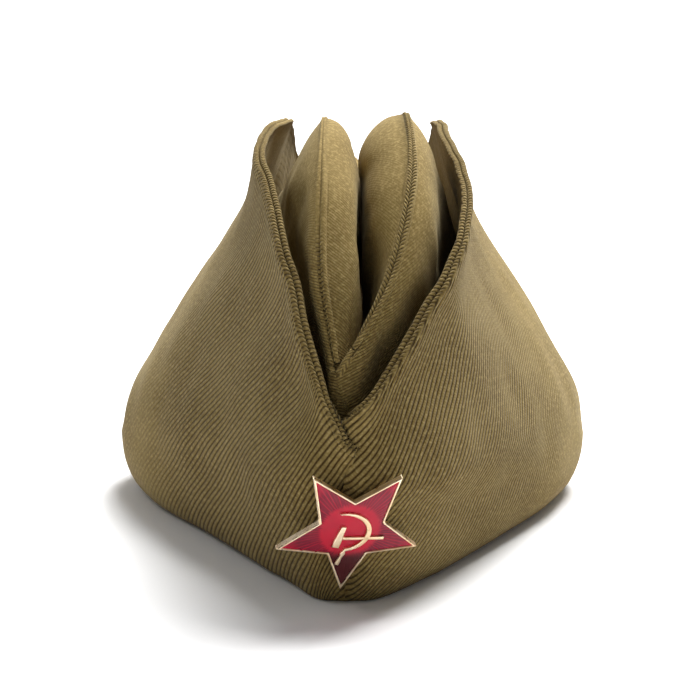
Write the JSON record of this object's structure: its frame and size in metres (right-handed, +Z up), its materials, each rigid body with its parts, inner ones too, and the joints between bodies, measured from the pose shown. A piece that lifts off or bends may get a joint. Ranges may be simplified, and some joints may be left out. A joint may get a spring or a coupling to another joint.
{
  "type": "garrison cap",
  "caption": "Soft folding side cap with turned-up flaps, a tucked-in crown and a star badge on the front seam, standing opened on its lower fold.",
  "frame": {"origin": "middle of the cap's bounding box, on the surface it stands on", "axes": "+Z up, the front seam and badge towards -Y; left and right in names are as seen from the front, left at -X"},
  "size_m": [0.144, 0.2753, 0.1168],
  "materials": {
    "twill": "matt ribbed cotton twill, olive khaki",
    "gilt": "polished pale gilt",
    "enamel": "glossy translucent red enamel"
  },
  "bodies": {
    "root": {"flap_left": "twill", "flap_right": "twill", "crown_left": "twill", "crown_right": "twill", "crown_tuck": "twill", "badge_star": "gilt", "badge_enamel": "enamel", "badge_emblem": "gilt", "badge_post": "gilt"}
  },
  "joints": []
}
